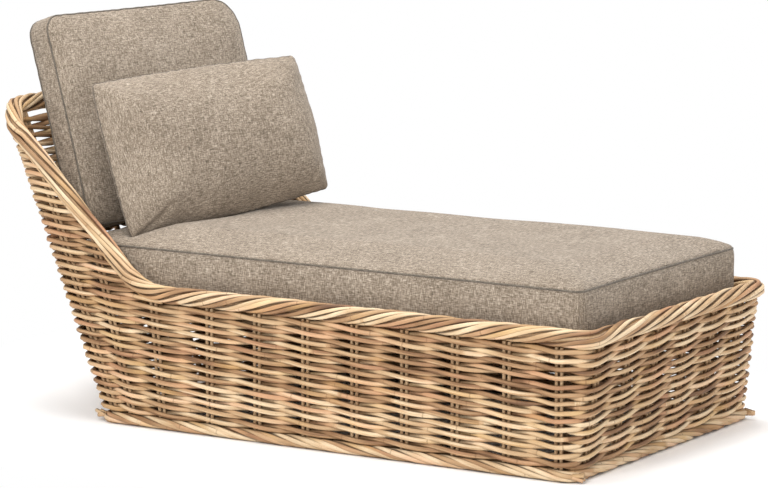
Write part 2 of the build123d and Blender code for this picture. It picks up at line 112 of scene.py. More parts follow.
class Socket:
    """A value in a node tree: sums and products of it are written as Python."""

    def __init__(self, nodes, output):
        self.nodes, self.output = nodes, output

    def __add__(self, other):
        return self.nodes.maths("ADD", self, other)

    def __radd__(self, other):
        return self.nodes.maths("ADD", other, self)

    def __sub__(self, other):
        return self.nodes.maths("SUBTRACT", self, other)

    def __rsub__(self, other):
        return self.nodes.maths("SUBTRACT", other, self)

    def __mul__(self, other):
        return self.nodes.maths("MULTIPLY", self, other)

    def __rmul__(self, other):
        return self.nodes.maths("MULTIPLY", other, self)

    def __pow__(self, other):
        return self.nodes.maths("POWER", self, other)

    def maths(self, operation, *others):
        return self.nodes.maths(operation, self, *others)

    def clamped(self):
        return self.maths("MAXIMUM", 0.0).maths("MINIMUM", 1.0)


class Nodes:
    """A node tree and the one way that its nodes are made."""

    def __init__(self, tree):
        self.tree = tree

    def node(self, kind, settings=None, inputs=None, output=0):
        made = self.tree.nodes.new(kind)
        for key, value in (settings or {}).items():
            if key == "stops":
                ramp = made.color_ramp.elements
                while len(ramp) < len(value):
                    ramp.new(0.5)
                for element, (place, colour) in zip(ramp, value):
                    element.position, element.color = place, (*colour, 1)
            else:
                setattr(made, key, value)
        for key, value in (inputs or {}).items():
            self.put(made.inputs[key], value)
        return Socket(self, made.outputs[output])

    def put(self, socket, value):
        if isinstance(value, Socket):
            self.tree.links.new(value.output, socket)
        else:
            socket.default_value = value

    def maths(self, operation, *values):
        return self.node("ShaderNodeMath", {"operation": operation}, dict(enumerate(values)))


class Finish(Nodes):
    """A material with one Principled shader."""

    def __init__(self, name):
        self.material = bpy.data.materials.new(name)
        self.material.use_nodes = True
        super().__init__(self.material.node_tree)
        self.shader = self.tree.nodes["Principled BSDF"]

    def shade(self, **inputs):
        for key, value in inputs.items():
            self.put(self.shader.inputs[key.replace("_", " ")], value)
        return self.material

    def noise(self, place, scale, detail=2.0, roughness=0.5):
        inputs = {"Vector": place, "Scale": scale, "Detail": detail, "Roughness": roughness}
        return self.node("ShaderNodeTexNoise", {"noise_dimensions": "3D"}, inputs)

    def grain(self, x, y, z, detail=2.0, roughness=0.5):
        """Noise over a place whose parts are scaled already."""
        place = self.node("ShaderNodeCombineXYZ", None, {0: x, 1: y, 2: z})
        return self.noise(place, 1.0, detail, roughness)

    def ramp(self, value, *stops):
        return self.node("ShaderNodeValToRGB", {"stops": stops}, {0: value})

    def rising(self, value, low, high):
        """From none to all of an effect as a value goes from low to high."""
        return self.ramp(value, (low, (0, 0, 0)), (high, (1, 1, 1)))

    def mix(self, factor, first, second):
        inputs = {0: factor, 6: first, 7: second}
        return self.node("ShaderNodeMix", {"data_type": "RGBA", "blend_type": "MIX"}, inputs, 2)

    def place(self):
        """The place on the piece, in metres."""
        return self.node("ShaderNodeTexCoord", output="Object")

    def split(self, vector):
        return [self.node("ShaderNodeSeparateXYZ", None, {0: vector}, k) for k in range(3)]

    def beyond(self, value, edge):
        """How far a value lies past an edge on either side of zero."""
        return (value.maths("ABSOLUTE") - edge).maths("MAXIMUM", 0.0)

    def cover_with(self, share, other):
        """Shows another shader over the main one by a share."""
        main = Socket(self, self.shader.outputs[0])
        both = self.node("ShaderNodeMixShader", None, {0: share, 1: main, 2: other})
        self.put(self.tree.nodes["Material Output"].inputs[0], both)

    def bump(self, height, distance, strength):
        inputs = {"Height": height, "Distance": distance, "Strength": strength}
        return self.node("ShaderNodeBump", None, inputs)


def paint(red, green, blue):
    """A colour as seen on screen, from 0 to 255, in the shader's own scale."""
    parts = (part / 255 for part in (red, green, blue))
    return tuple(part / 12.92 if part <= 0.04045 else ((part + 0.055) / 1.055) ** 2.4 for part in parts)


def painted(red, green, blue):
    """The same colour with its alpha, as a socket takes it."""
    return (*paint(red, green, blue), 1)


# Finishes

RATTAN_STOPS = (
    (0.0, paint(84, 56, 36)),
    (0.2, paint(132, 97, 65)),
    (0.42, paint(170, 135, 98)),
    (0.64, paint(194, 164, 126)),
    (0.86, paint(222, 199, 165)),
    (1.0, paint(196, 160, 121)),
)
JOINT_COLOUR = painted(104, 66, 38)


def rattan_strand():
    """Round rattan: a tone for each strand, grain along it, a dark ring at each joint of the cane, and
    painted shade on the sides of each strand a quarter turn from its outer side, where it meets its
    neighbours.
    """
    finish = Finish("rattan_strand")
    tone = finish.node("ShaderNodeAttribute", {"attribute_name": "tone"}, None, 2)
    along, around, _ = finish.split(finish.node("ShaderNodeUVMap", {"uv_map": "strand"}))
    seed = tone * 61.7
    patch = finish.grain(along * 7.0, around * 0.6, seed)
    fibre = finish.grain(along * 18.0, around * 30.0, seed, 3.0, 0.6)
    fleck = finish.grain(along * 160.0, around * 9.0, seed, 2.0, 0.6)
    shade_of_strand = tone * 0.62 + (patch - 0.5) * 1.1 + (fibre - 0.5) * 0.42 + 0.2
    colour = finish.ramp(shade_of_strand.clamped(), *RATTAN_STOPS)
    pink = finish.rising(finish.grain(along * 4.0, seed, 3.0), 0.52, 0.66)
    colour = finish.mix(pink * 0.4, colour, painted(214, 158, 122))
    gold = finish.rising(finish.grain(seed, along * 5.0, 9.0), 0.56, 0.7)
    colour = finish.mix(gold * 0.35, colour, painted(212, 172, 106))
    joints_a_metre = 2.9
    ring = (along * joints_a_metre + tone * 17.0).maths("FRACT").maths("COMPARE", 0.5, 0.004)
    # Painted shade: the girth is darkened towards deep brown a quarter turn from the strand's outer side,
    # where strands meet.
    facing = (around * (2 * pi)).maths("COSINE").maths("ABSOLUTE")
    painted_crevice_shade = ((0.62 - facing) * 1.9 + (patch - 0.5) * 0.8).clamped()
    colour = finish.mix(painted_crevice_shade * 0.85, colour, painted(58, 35, 19))
    dark = (ring * 0.4 + finish.rising(fleck, 0.66, 0.76) * 0.4).clamped()
    colour = finish.mix(dark, colour, JOINT_COLOUR)
    relief = fibre * 0.6 + fleck * 0.25 - ring * 0.5
    return finish.shade(
        Base_Color=colour, Roughness=0.5 + fibre * 0.2,
        Normal=finish.bump(relief, 0.0006, 0.8), Specular_IOR_Level=0.4,
    )


def rattan_pole(name, axis):
    """A peeled pole: grain along its axis and a dark ring at each joint of the cane."""
    finish = Finish(name)
    place = finish.place()
    parts = finish.split(place)
    stretch = [9.0 if k == axis else 260.0 for k in range(3)]
    fibre = finish.grain(*(part * size for part, size in zip(parts, stretch)), 3.0, 0.6)
    patch = finish.noise(place, 9.0)
    colour = finish.ramp((fibre * 0.5 + patch * 0.5 + 0.02).clamped(), *RATTAN_STOPS)
    joints_a_metre = 4.1
    ring = (parts[axis] * joints_a_metre).maths("FRACT").maths("COMPARE", 0.5, 0.006)
    colour = finish.mix(ring * 0.6, colour, JOINT_COLOUR)
    return finish.shade(
        Base_Color=colour, Roughness=0.52 + fibre * 0.2, Normal=finish.bump(fibre - ring, 0.0008, 0.7)
    )


def slat_wood():
    """Plain pale softwood with grain along the slats."""
    finish = Finish("slat_wood")
    x, y, z = finish.split(finish.place())
    grain = finish.grain(x * 6.0, y * 180.0, z * 180.0, 4.0, 0.6)
    board = finish.grain(0.0, y * 16.0, 0.0, 0.0)
    colour = finish.ramp(
        (grain * 0.7 + board * 0.4 - 0.05).clamped(),
        (0.25, paint(150, 112, 74)), (0.5, paint(188, 150, 106)), (0.8, paint(212, 180, 138)),
    )
    return finish.shade(
        Base_Color=colour, Roughness=0.6 + grain * 0.15, Normal=finish.bump(grain, 0.0006, 0.6)
    )


def steel():
    """Dull zinc-plated steel of the screws and nails."""
    finish = Finish("fastener_steel")
    mottle = finish.noise(finish.place(), 900.0, 3.0)
    colour = finish.ramp(mottle, (0.3, paint(148, 146, 138)), (0.7, paint(190, 188, 182)))
    return finish.shade(Base_Color=colour, Roughness=0.34 + mottle * 0.2, Metallic=1.0)


def linen(name, pale, mid, dark, thread=1.0):
    """Woven melange cloth: pale and dark threads cross, with slubs, over slow changes of tone."""
    finish = Finish(name)
    place = finish.place()
    x, y, z = finish.split(place)
    fine, long = 500.0 / thread, 75.0 / thread
    warp = finish.grain(x * fine, y * long, z * fine, 2.0, 0.65)
    weft = finish.grain(x * long, y * fine, z * fine + 40.0, 2.0, 0.65)
    rise = finish.grain(x * fine, y * fine + 40.0, z * long, 2.0, 0.65)
    cloud = finish.noise(place, 11.0, 3.0)
    facing = finish.split(finish.node("ShaderNodeTexCoord", output="Normal"))
    lies = [1.0 - part * part for part in facing]
    threads = (weft - 0.5) * lies[0] + (warp - 0.5) * lies[1] + (rise - 0.5) * lies[2]
    level = threads * 1.25 + 0.5 + (cloud - 0.5) * 0.22
    colour = finish.ramp(level.clamped(), (0.12, dark), (0.5, mid), (0.9, pale))
    rib_pitch = 0.0024
    rib_x, rib_y = ((part * (2 * pi / rib_pitch)).maths("SINE") for part in (x, y))
    height = (threads * 0.5 + 0.5) * 1.2 + rib_x * rib_y * 0.12
    return finish.shade(
        Base_Color=colour, Roughness=0.9, Normal=finish.bump(height, 0.0016, 0.7),
        Specular_IOR_Level=0.25, Sheen_Weight=0.12, Sheen_Roughness=0.5,
    )


def foam():
    """Pale open-cell foam and fibre filling."""
    finish = Finish("cushion_foam")
    cells = finish.noise(finish.place(), 420.0, 2.0, 0.6)
    colour = finish.ramp(cells, (0.35, paint(206, 196, 170)), (0.65, paint(236, 230, 212)))
    return finish.shade(Base_Color=colour, Roughness=0.95, Normal=finish.bump(cells, 0.001, 0.8))


def zip_tape():
    """Grey-brown zip with its teeth across the tape."""
    finish = Finish("zip_tape")
    tooth_pitch = 0.003
    teeth = (finish.split(finish.place())[0] * (2 * pi / tooth_pitch)).maths("SINE")
    colour = finish.ramp(teeth * 0.5 + 0.5, (0.3, paint(92, 84, 74)), (0.7, paint(134, 124, 110)))
    return finish.shade(Base_Color=colour, Roughness=0.6, Normal=finish.bump(teeth, 0.0006, 0.8))


strand_finish = rattan_strand()
linen_finish = linen("melange_linen", paint(190, 177, 161), paint(138, 124, 108), paint(82, 72, 60))
# The welts use the cover's cloth painted darker: painted shade along the seams.
welt_painted_shade_finish = linen("welt_linen_painted_shade", paint(132, 122, 110), paint(98, 90, 80), paint(62, 56, 50), 0.8)
foam_finish = foam()
slat_finish, steel_finish, zip_finish = slat_wood(), steel(), zip_tape()
pole_finishes = [rattan_pole(f"rattan_pole_{letter}", axis) for axis, letter in enumerate("xyz")]


# Strands

STRAND_SIDES = 8
CANE_LENGTH = 1.5
CLOSE_STEP = 0.004


class Strands:
    """Round strands gathered into one mesh, each with its tone and with its length and girth as a map."""

    def __init__(self):
        self.points, self.faces, self.maps, self.tones, self.count = [], [], [], [], 0

    def add(self, line, up, radius, tone, closed=False, oval=1.0, outer=0.0):
        """A strand along points: up is any direction across it, oval its depth as a share of its height,
        and outer where on its girth its outer side is; the rattan finish paints shade a quarter turn from
        that side."""
        n, sides = len(line), STRAND_SIDES
        if closed:
            ahead = np.roll(line, -1, 0) - np.roll(line, 1, 0)
        else:
            ahead = np.gradient(line, axis=0)
        ahead /= np.linalg.norm(ahead, axis=1, keepdims=True)
        rise = up - (up * ahead).sum(1, keepdims=True) * ahead
        rise /= np.linalg.norm(rise, axis=1, keepdims=True)
        out = np.cross(ahead, rise)
        angle = np.arange(sides) * 2 * pi / sides
        radius = np.broadcast_to(radius, n)[:, None, None]
        ring = out[:, None] * (np.cos(angle)[:, None] * oval) + rise[:, None] * np.sin(angle)[:, None]
        self.points.append((line[:, None] + ring * radius).reshape(-1, 3))
        self.tones.append(np.repeat(np.broadcast_to(tone, n), sides))
        along = lengths(np.vstack([line, line[:1]]) if closed else line) + draw.uniform(0, 3)
        i, k = np.meshgrid(np.arange(len(along) - 1), np.arange(sides), indexing="ij")
        i, k = i.ravel(), k.ravel()
        j, m = (i + 1) % n, (k + 1) % sides
        quads = np.stack([i * sides + k, i * sides + m, j * sides + m, j * sides + k], 1) + self.count
        self.faces.extend(map(tuple, quads.tolist()))
        girth = k / sides - outer
        corner = np.stack([along[i], girth, along[i], girth + 1 / sides, along[i + 1], girth + 1 / sides,
                           along[i + 1], girth], 1)
        self.maps.append(corner.reshape(-1, 2))
        if not closed:
            for end, order in ((0, -1), (n - 1, 1)):
                cap = [self.count + end * sides + q for q in range(sides)][::order]
                self.faces.append(tuple(cap))
                self.maps.append(np.full((sides, 2), (along[end], 0.5)))
        self.count += n * sides

    def made(self, name, finish, origin=MIDDLE):
        """The mesh object, its points counted from an origin."""
        mesh = bpy.data.meshes.new(name)
        points = np.vstack(self.points) - np.array(origin)
        mesh.from_pydata(points.tolist(), [], self.faces)
        mesh.uv_layers.new(name="strand").data.foreach_set("uv", np.vstack(self.maps).ravel())
        tone = mesh.attributes.new("tone", "FLOAT", "POINT")
        tone.data.foreach_set("value", np.concatenate(self.tones).astype(np.float32))
        mesh.polygons.foreach_set("use_smooth", [True] * len(mesh.polygons))
        mesh.materials.append(finish)
        made = bpy.data.objects.new(name, mesh)
        bpy.context.scene.collection.objects.link(made)
        return made


def lengths(points):
    """How far along a line each of its points is."""
    return np.concatenate([[0], np.cumsum(np.linalg.norm(np.diff(points, axis=0), axis=1))])


def wander(s, period, size):
    """A smooth wandering number along a length."""
    count = max(int((s[-1] - s[0]) / period) + 3, 4)
    knots = draw.normal(0, size, count)
    t = (s - s[0]) / period
    k = np.minimum(t.astype(int), count - 2)
    f = t - k
    f = f * f * (3 - 2 * f)
    return knots[k] * (1 - f) + knots[k + 1] * f


def tones_along(s):
    """The tone along a strand that is made of several canes end to end."""
    edges = s[0] + np.cumsum(draw.uniform(0.5, 1.5, int((s[-1] - s[0]) / CANE_LENGTH) + 3) * CANE_LENGTH)
    shades = draw.uniform(0, 1, len(edges) + 1)
    return shades[np.searchsorted(edges, s)]


# Woven walls

def arc(centre_x, centre_y, radius, start):
    """A quarter turn anticlockwise, as points."""
    turn = start + np.linspace(0, pi / 2, 14)
    return np.stack([centre_x + radius * np.cos(turn), centre_y + radius * np.sin(turn)], 1)


def rounded_outline(half, low, high, radius):
    """A rounded rectangle, anticlockwise from the middle of the foot, as close points and their lengths."""
    a = half - radius
    turns = [arc(a, low + radius, radius, -pi / 2), arc(a, high - radius, radius, 0),
             arc(-a, high - radius, radius, pi / 2), arc(-a, low + radius, radius, pi)]
    points = np.vstack([[(0, low)], *turns, [(0, low)]])
    s = lengths(points)
    close = np.linspace(0, s[-1], int(s[-1] / CLOSE_STEP))
    return np.stack([np.interp(close, s, points[:, k]) for k in range(2)], 1), close


def pair_places(z):
    """Where each pair of stakes, or upright, crosses a height, in order round the body."""
    places, floor_y = [], SIDE_PAIR_START - SIDE_PAIR_PITCH
    for lean, count, share in SIDE_FAN:
        for _ in range(count):
            floor_y += SIDE_PAIR_PITCH * share
            places.append(floor_y + z * tan(radians(lean)))
    foot = [(k + 0.5) * END_PAIR_PITCH for k in range(FOOT_PAIRS)]
    low, high = foot_face(z), head_face(z)
    return (
        [(x + FOOT_PAIR_SHIFT, low) for x in foot] + [(WALL_AXIS, y) for y in places]
        + [(k * END_PAIR_PITCH, high) for k in HEAD_PAIRS]
        + [(-WALL_AXIS, y) for y in places[::-1]] + [(FOOT_PAIR_SHIFT - x, low) for x in foot[::-1]]
    )


ARM_RUN = ARM_BEND * tan(ARM_SLOPE / 2)
LEVEL_END = BEND_Y - ARM_RUN
SLOPE_START = BEND_Y + ARM_RUN * cos(ARM_SLOPE)
SHOULDER_HEIGHT = HEAD_HEIGHT - HEAD_CORNER_DROP
SHOULDER_Y = BEND_Y + SHOULDER_HEIGHT - RIM_HEIGHT
HEAD_FACE_REACH = 0.005
SIDE_PAIRS = sum(count for _, count, _ in SIDE_FAN)
PAIRS = 2 * (SIDE_PAIRS + FOOT_PAIRS) + len(HEAD_PAIRS)
UPRIGHTS = [FOOT_PAIRS + SIDE_PAIRS + k for k in HEAD_UPRIGHTS]
NEAR_CORNER_PAIR = PAIRS - FOOT_PAIRS - 1
FAR_CORNER_PAIR = FOOT_PAIRS
ROW_END_CLEARANCE = 0.006
STRAND_STEP = 0.0125
STRAND_GAP = 0.0006
UPRIGHT_SWELL, UPRIGHT_REACH = 0.002, 0.35


def rim_over(x, y):
    """The height of the rim's axis over a place on the wall."""
    bend = RIM_HEIGHT + ARM_BEND - np.sqrt(np.maximum(ARM_BEND ** 2 - (y - LEVEL_END).clip(0) ** 2, 0))
    side = np.where(y < LEVEL_END, RIM_HEIGHT, np.where(y < SLOPE_START, bend, RIM_HEIGHT + y - BEND_Y))
    side = np.where(y < SHOULDER_Y - HEAD_FACE_REACH, side, HEAD_HEIGHT)
    over_corner = (np.abs(x) - WALL_AXIS + HEAD_CORNER_RUN).clip(0)
    front = HEAD_HEIGHT - over_corner * HEAD_CORNER_DROP / HEAD_CORNER_RUN
    return np.minimum(side, front)


def strand_count(points, s, z):
    """How many pairs have been passed at each place round the body, as a smooth number."""
    at = [s[np.argmin(np.hypot(points[:, 0] - x, points[:, 1] - y))] for x, y in pair_places(z)]
    whole = s[-1]
    at = np.array([at[-1] - whole, *at, at[0] + whole])
    number = np.interp(s, at, np.arange(-1, PAIRS + 1))
    wide = 9
    padded = np.concatenate([number[-wide - 1:-1] - PAIRS, number, number[1:wide + 1] + PAIRS])
    return np.convolve(padded, np.ones(2 * wide + 1) / (2 * wide + 1), "valid")


def twist_side(u):
    """Which way a row's two strands turn about each other: one way at the foot, the other elsewhere."""
    return np.tanh((u - FAR_CORNER_PAIR) * 5) * np.tanh((NEAR_CORNER_PAIR - u) * 5)


def woven_row(strands, z, closed):
    """One row: two strands that pass before and behind each pair in turn and cross midway."""
    points, s = rounded_outline(WALL_AXIS, foot_face(z), head_face(z), CORNER - WALL / 2)
    u = strand_count(points, s, z)
    if closed:
        low, high = 0.0, s[-1]
    else:
        x, y = points.T
        kept = np.nonzero((rim_over(x, y) > z + ROW_END_CLEARANCE) & (y > LEVEL_END))[0]
        low, high = s[kept[0]], s[kept[-1]]
    steps = int((high - low) / STRAND_STEP)
    turns = 2 if closed else 1
    here = np.linspace(low, high * turns, steps * turns, endpoint=not closed)
    lap = here % s[-1] if closed else here
    x, y = (np.interp(lap, s, points[:, k]) for k in range(2))
    passed = np.interp(lap, s, u)
    number = passed + PAIRS * (here // s[-1]) if closed else passed
    ahead = np.stack([np.interp(lap, s, np.gradient(points[:, k], s)) for k in range(2)] + [0 * x], 1)
    ahead /= np.linalg.norm(ahead, axis=1, keepdims=True)
    slope = np.where(y > FLOOR_LENGTH / 2, tan(RAKE), -FOOT_SLOPE)
    up = np.stack([0 * x, slope, 1 + 0 * x], 1)
    up -= (up * ahead).sum(1, keepdims=True) * ahead
    up /= np.linalg.norm(up, axis=1, keepdims=True)
    out = np.cross(ahead, up)
    swelling = sum(np.exp(-((passed - k) / UPRIGHT_REACH) ** 2) for k in UPRIGHTS)
    depth = STAKE / 2 + STRAND / 2 + STRAND_GAP + UPRIGHT_SWELL * swelling
    for first in (0,) if closed else (0, 1):
        turn = pi * (number - first + wander(here, 0.11, 0.035))
        swing = depth * np.cos(turn) * (1 + wander(here, 0.2, 0.04))
        lift = -twist_side(passed) * STRAND / 2 * np.sin(turn) + wander(here, 0.16, 0.001)
        line = np.stack([x, y, z + 0 * x], 1) + out * swing[:, None] + up * lift[:, None]
        radius = STRAND / 2 * (draw.uniform(1.12, 1.26) + wander(here, 0.3, 0.035))
        strands.add(line, up, radius, tones_along(here), closed=closed)


def rows():
    """The rows below the rim, which go all round, and those above it, which go round the head."""
    lower, upper = Strands(), Strands()
    z = BORDER_HEIGHT + STRAND
    while z < HEAD_HEIGHT - RIM_RADIUS:
        closed = z < RIM_HEIGHT - RIM_RADIUS
        woven_row(lower if closed else upper, z + draw.uniform(-0.0006, 0.0006), closed)
        z += ROW_PITCH
    return lower.made("woven_rows", strand_finish), upper.made("woven_head_rows", strand_finish)


# Rope borders

ROPE_STEP = 0.011
JOIN_LENGTH = 0.15
LOOSE_ENDS = 4
LOOSE_END_START = 0.010
LOOSE_END_RADIUS = 0.0046
LOOSE_END_LOWEST = 0.007


def filleted_loop(corners):
    """A closed line through corners that are each rounded with a radius, as evenly spaced points."""
    places = [np.array(place, float) for *place, _ in corners]
    line = []
    for k, (*_, radius) in enumerate(corners):
        here = places[k]
        back, on = places[k - 1] - here, places[(k + 1) % len(places)] - here
        back, on = back / np.linalg.norm(back), on / np.linalg.norm(on)
        half = np.arccos(np.clip(np.dot(back, on), -1, 1)) / 2
        middle = (back + on) / np.linalg.norm(back + on)
        centre = here + middle * radius / sin(half)
        first, last = (here + way * radius / tan(half) - centre for way in (back, on))
        sweep = pi - 2 * half
        for t in np.linspace(0, 1, 12):
            line.append(centre + (first * sin((1 - t) * sweep) + last * sin(t * sweep)) / sin(sweep))
    line = np.array(line)
    start = (line[-1] + line[0]) / 2
    line = np.vstack([start, line, start])
    s = lengths(line)
    even = np.linspace(0, s[-1], int(s[-1] / ROPE_STEP), endpoint=False)
    return np.stack([np.interp(even, s, line[:, k]) for k in range(3)], 1), even


def carried_frame(line):
    """Directions out and up across a closed line, carried along it without turning about it, and closed."""
    ahead = np.roll(line, -1, 0) - np.roll(line, 1, 0)
    ahead /= np.linalg.norm(ahead, axis=1, keepdims=True)
    up = [np.array([0.0, 0.0, 1.0])]
    for way in np.vstack([ahead[1:], ahead[:1]]):
        moved = up[-1] - way * np.dot(up[-1], way)
        up.append(moved / np.linalg.norm(moved))
    out = np.cross(ahead[0], up[0])
    slip = atan2(np.dot(up[-1], out), np.dot(up[-1], up[0]))
    up = np.array(up[:-1])
    out = np.cross(ahead, up)
    turn = np.linspace(0, -slip, len(line), endpoint=False)[:, None]
    return out * np.cos(turn) - up * np.sin(turn), up * np.cos(turn) + out * np.sin(turn)


def rope(strands, line, s, count, half_width, half_height, radius, turns, rate):
    """Strands laid round a closed line like a rope, more even near the join. The rate says how quickly they
    turn at each place."""
    out, up = carried_frame(line)
    lay = np.concatenate([[0], np.cumsum(rate)])
    lay = lay[:-1] / lay[-1] * 2 * pi * turns
    fade = np.minimum(1, np.minimum(s, s[-1] - s) / JOIN_LENGTH)
    for k in range(count):
        turn = lay + 2 * pi * k / count + wander(s, 0.2, 0.15) * fade
        reach = 1 + wander(s, 0.16, 0.05).clip(-0.2, 0.03) * fade
        across = (np.cos(turn) * half_width * reach)[:, None] * out
        above = (np.sin(turn) * half_height * reach)[:, None] * up
        size = radius * (1 + wander(s, 0.25, 0.09).clip(-0.2, 0.16) * fade)
        strands.add(line + across + above, across + above, size, tones_along(s), closed=True, outer=0.25)


def rim_rope():
    """The rim: a rope of rattan along the foot and sides, up the arms and over the head."""
    foot_y, head_y = foot_face(RIM_HEIGHT), head_face(HEAD_HEIGHT)
    half = [
        (WALL_AXIS, foot_y, RIM_HEIGHT, RIM_CORNER),
        (WALL_AXIS, BEND_Y, RIM_HEIGHT, ARM_BEND),
        (WALL_AXIS, SHOULDER_Y, SHOULDER_HEIGHT, HEAD_CORNER),
        (WALL_AXIS - HEAD_CORNER_RUN, head_y, HEAD_HEIGHT, HEAD_CORNER),
    ]
    other = [(-x, y, z, radius) for x, y, z, radius in half[::-1]]
    line, s = filleted_loop(half + other)
    on_foot = line[:, 1] < foot_y + RIM_CORNER
    on_arm = (line[:, 2] > RIM_HEIGHT + 0.04) & (line[:, 2] < HEAD_HEIGHT - 0.06)
    rate = np.where(on_foot, 0.6, np.where(on_arm, 0.35, 1.0))
    strands = Strands()
    radius, count, turns = 0.0054, 8, 12
    rope(strands, line, s, count, RIM_RADIUS - radius, RIM_RADIUS - radius, radius, turns, rate)
    return strands.made("rim_rope", strand_finish)


def base_rope():
    """The border along the floor: a flatter rope that turns the other way, with loose ends at corners."""
    radius, count, turns = 0.0057, 6, -15
    outer, inner = HALF_BODY + BORDER_PROUD, HALF_BODY - WALL
    half, half_width = (outer + inner) / 2, (outer - inner) / 2
    corner = CORNER + BORDER_PROUD - half_width
    low, high = half_width - BORDER_PROUD, FLOOR_LENGTH + BORDER_PROUD - half_width
    places = ((half, low), (half, high), (-half, high), (-half, low))
    line, s = filleted_loop([(x, y, BORDER_HEIGHT / 2, corner) for x, y in places])
    strands = Strands()
    half_height = BORDER_HEIGHT / 2 - 1.2 * radius
    rope(strands, line, s, count, half_width - radius, half_height, radius, turns, np.ones(len(line)))
    for side in (-1, 1):
        for y, way in ((LOOSE_END_START, -1), (FLOOR_LENGTH - LOOSE_END_START, 1)):
            for _ in range(LOOSE_ENDS):
                inwards, height = draw.uniform(0.006, 0.026), draw.uniform(0.008, 0.022)
                reach = draw.uniform(0.014, 0.030)
                aside, rise = draw.uniform(-0.010, 0.002), draw.uniform(-0.008, 0.008)
                start = np.array([side * (HALF_BODY - inwards), y, height])
                end = start + np.array([side * aside, way * reach, rise])
                end[2] = max(end[2], LOOSE_END_LOWEST)
                strands.add(np.linspace(start, end, 5), UPWARDS, LOOSE_END_RADIUS, draw.uniform(0.3, 1))
    return strands.made("base_rope", strand_finish)


lower_rows, upper_rows = rows()
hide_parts("woven_side_left", "woven_side_right", "woven_foot", "woven_corners_foot")
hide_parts("woven_head", "woven_corners_head")
rim = rim_rope()
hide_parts("rim_border_foot", "rim_border_left", "rim_border_right", "rim_border_head")
base = base_rope()
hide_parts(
    "base_border_foot", "base_border_left", "base_border_right", "base_border_head", "base_border_corners",
)
for made, slot in (
    (lower_rows, "woven_rattan"), (upper_rows, "woven_rattan"), (rim, "rim_rattan"), (base, "rim_rattan"),
):
    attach(made, "frame")


# Cushions

CROWN_SHARES = (0.0, 0.02, 0.06, 0.12, 0.2, 0.3, 0.42, 0.56, 0.72, 0.9)
PRESSURE = 4.0
CLOTH_FRAMES = 20
SEWN_REACH = 0.008
SEAM_EASE = 0.03
FILLING_INSET = 0.018
FILLING_VOXEL = 0.012
SEAT_WIDTH = 0.743
SEAT_CORNER = 0.026
SEAT_FOOT = foot_face(RIM_HEIGHT) + RIM_RADIUS + 0.018
SEAT_HEAD = head_face(DECK_HEIGHT, WALL) - 0.0061
SEAT_LENGTH = SEAT_HEAD - SEAT_FOOT
CORNER_SEAM_INSET = 0.0076
OWN_ORIGIN = (0, 0, 0)


def seam_outline(width, height, corners, draw_in, taper, inset=0.0):
    """A cushion's outline from its front: four rounded corners, with sides that curve in between them."""
    half_x, half_y = width / 2 - inset, height / 2 - inset
    turns = []
    for k, (side_x, side_y) in enumerate(((1, 1), (-1, 1), (-1, -1), (1, -1))):
        rounding = min(corners[k] + inset / 4, min(half_x, half_y) * 0.7)
        turn = k * pi / 2 + np.linspace(0, pi / 2, 12)
        middle = np.array([side_x * (half_x - rounding), side_y * (half_y - rounding)])
        turns.append(middle + rounding * np.stack([np.cos(turn), np.sin(turn)], 1))
    points = np.vstack([np.vstack([here, np.linspace(here[-1], after[0], 30)[1:-1]])
                        for here, after in zip(turns, turns[1:] + turns[:1])])
    half = np.array([half_x, half_y])
    share = points / half
    bow = draw_in * (1 - inset / (min(width, height) / 2)) ** 2
    points = points - np.sign(share) * bow * (1 - share[:, ::-1] ** 2) * np.abs(share) ** 3
    points[:, 1] *= 1 - taper * points[:, 0] / half_x
    return points


def crown_rings(sizes, level, crown, sharpness):
    """The outlines of a swelling face, from its seam to its top."""
    rings = []
    for share in CROWN_SHARES:
        outline = seam_outline(*sizes, share * min(sizes[:2]) / 2)
        rings.append((outline, level + crown * (1 - (1 - share) ** sharpness) ** 0.8))
    return rings


def closed_form(name, rings, voxel, finish):
    """A closed mesh through outlines from back to front, made again of small even faces."""
    count = len(rings[0][0])
    points = [(x, y, z) for outline, z in rings for x, y in outline]
    faces = [tuple(range(count))[::-1], tuple(range((len(rings) - 1) * count, len(rings) * count))]
    for k in range(len(rings) - 1):
        for i in range(count):
            j = (i + 1) % count
            faces.append((k * count + i, k * count + j, (k + 1) * count + j, (k + 1) * count + i))
    mesh = bpy.data.meshes.new(name)
    mesh.from_pydata(points, [], faces)
    made = bpy.data.objects.new(name, mesh)
    bpy.context.scene.collection.objects.link(made)
    even = made.modifiers.new("even", "REMESH")
    even.mode, even.voxel_size, even.use_smooth_shade = "VOXEL", voxel, True
    take_shape(made)
    made.data.materials.clear()
    made.data.materials.append(finish)
    return made


def take_shape(made):
    """Makes the shape that the modifiers give the object's own."""
    before = made.data
    made.data = bpy.data.meshes.new_from_object(made.evaluated_get(bpy.context.evaluated_depsgraph_get()))
    made.modifiers.clear()
    bpy.data.meshes.remove(before)


def read_points(mesh, what="co"):
    """The places or normals of the mesh's points as an array."""
    values = np.empty(len(mesh.vertices) * 3)
    mesh.vertices.foreach_get(what, values)
    return values.reshape(-1, 3)


def write_points(mesh, points):
    """Moves the mesh's points."""
    mesh.vertices.foreach_set("co", points.ravel())
    mesh.update()


def surface_of(points, mesh):
    """The mesh's faces over these points, to cast rays at or find places on."""
    return BVHTree.FromPolygons(points.tolist(), [list(face.vertices) for face in mesh.polygons])


def nearest_on(lines, points):
    """How far each point is from a set of seam points, and which of them is nearest."""
    tree = KDTree(len(lines))
    for k, place in enumerate(lines):
        tree.insert(place, k)
    tree.balance()
    found = [tree.find(place) for place in points]
    return np.array([gap for _, _, gap in found]), np.array([k for _, k, _ in found])


def swell(points, size, length, seed):
    """Slow uneven swells over a stuffed form, from crossing waves."""
    waves = np.random.default_rng(seed)
    total = np.zeros(len(points))
    for _ in range(9):
        way = waves.normal(0, 1, 3)
        way *= 2 * pi / (length * waves.uniform(0.7, 1.6) * np.linalg.norm(way))
        total += np.sin(points @ way + waves.uniform(0, 2 * pi))
    return size * total / 3


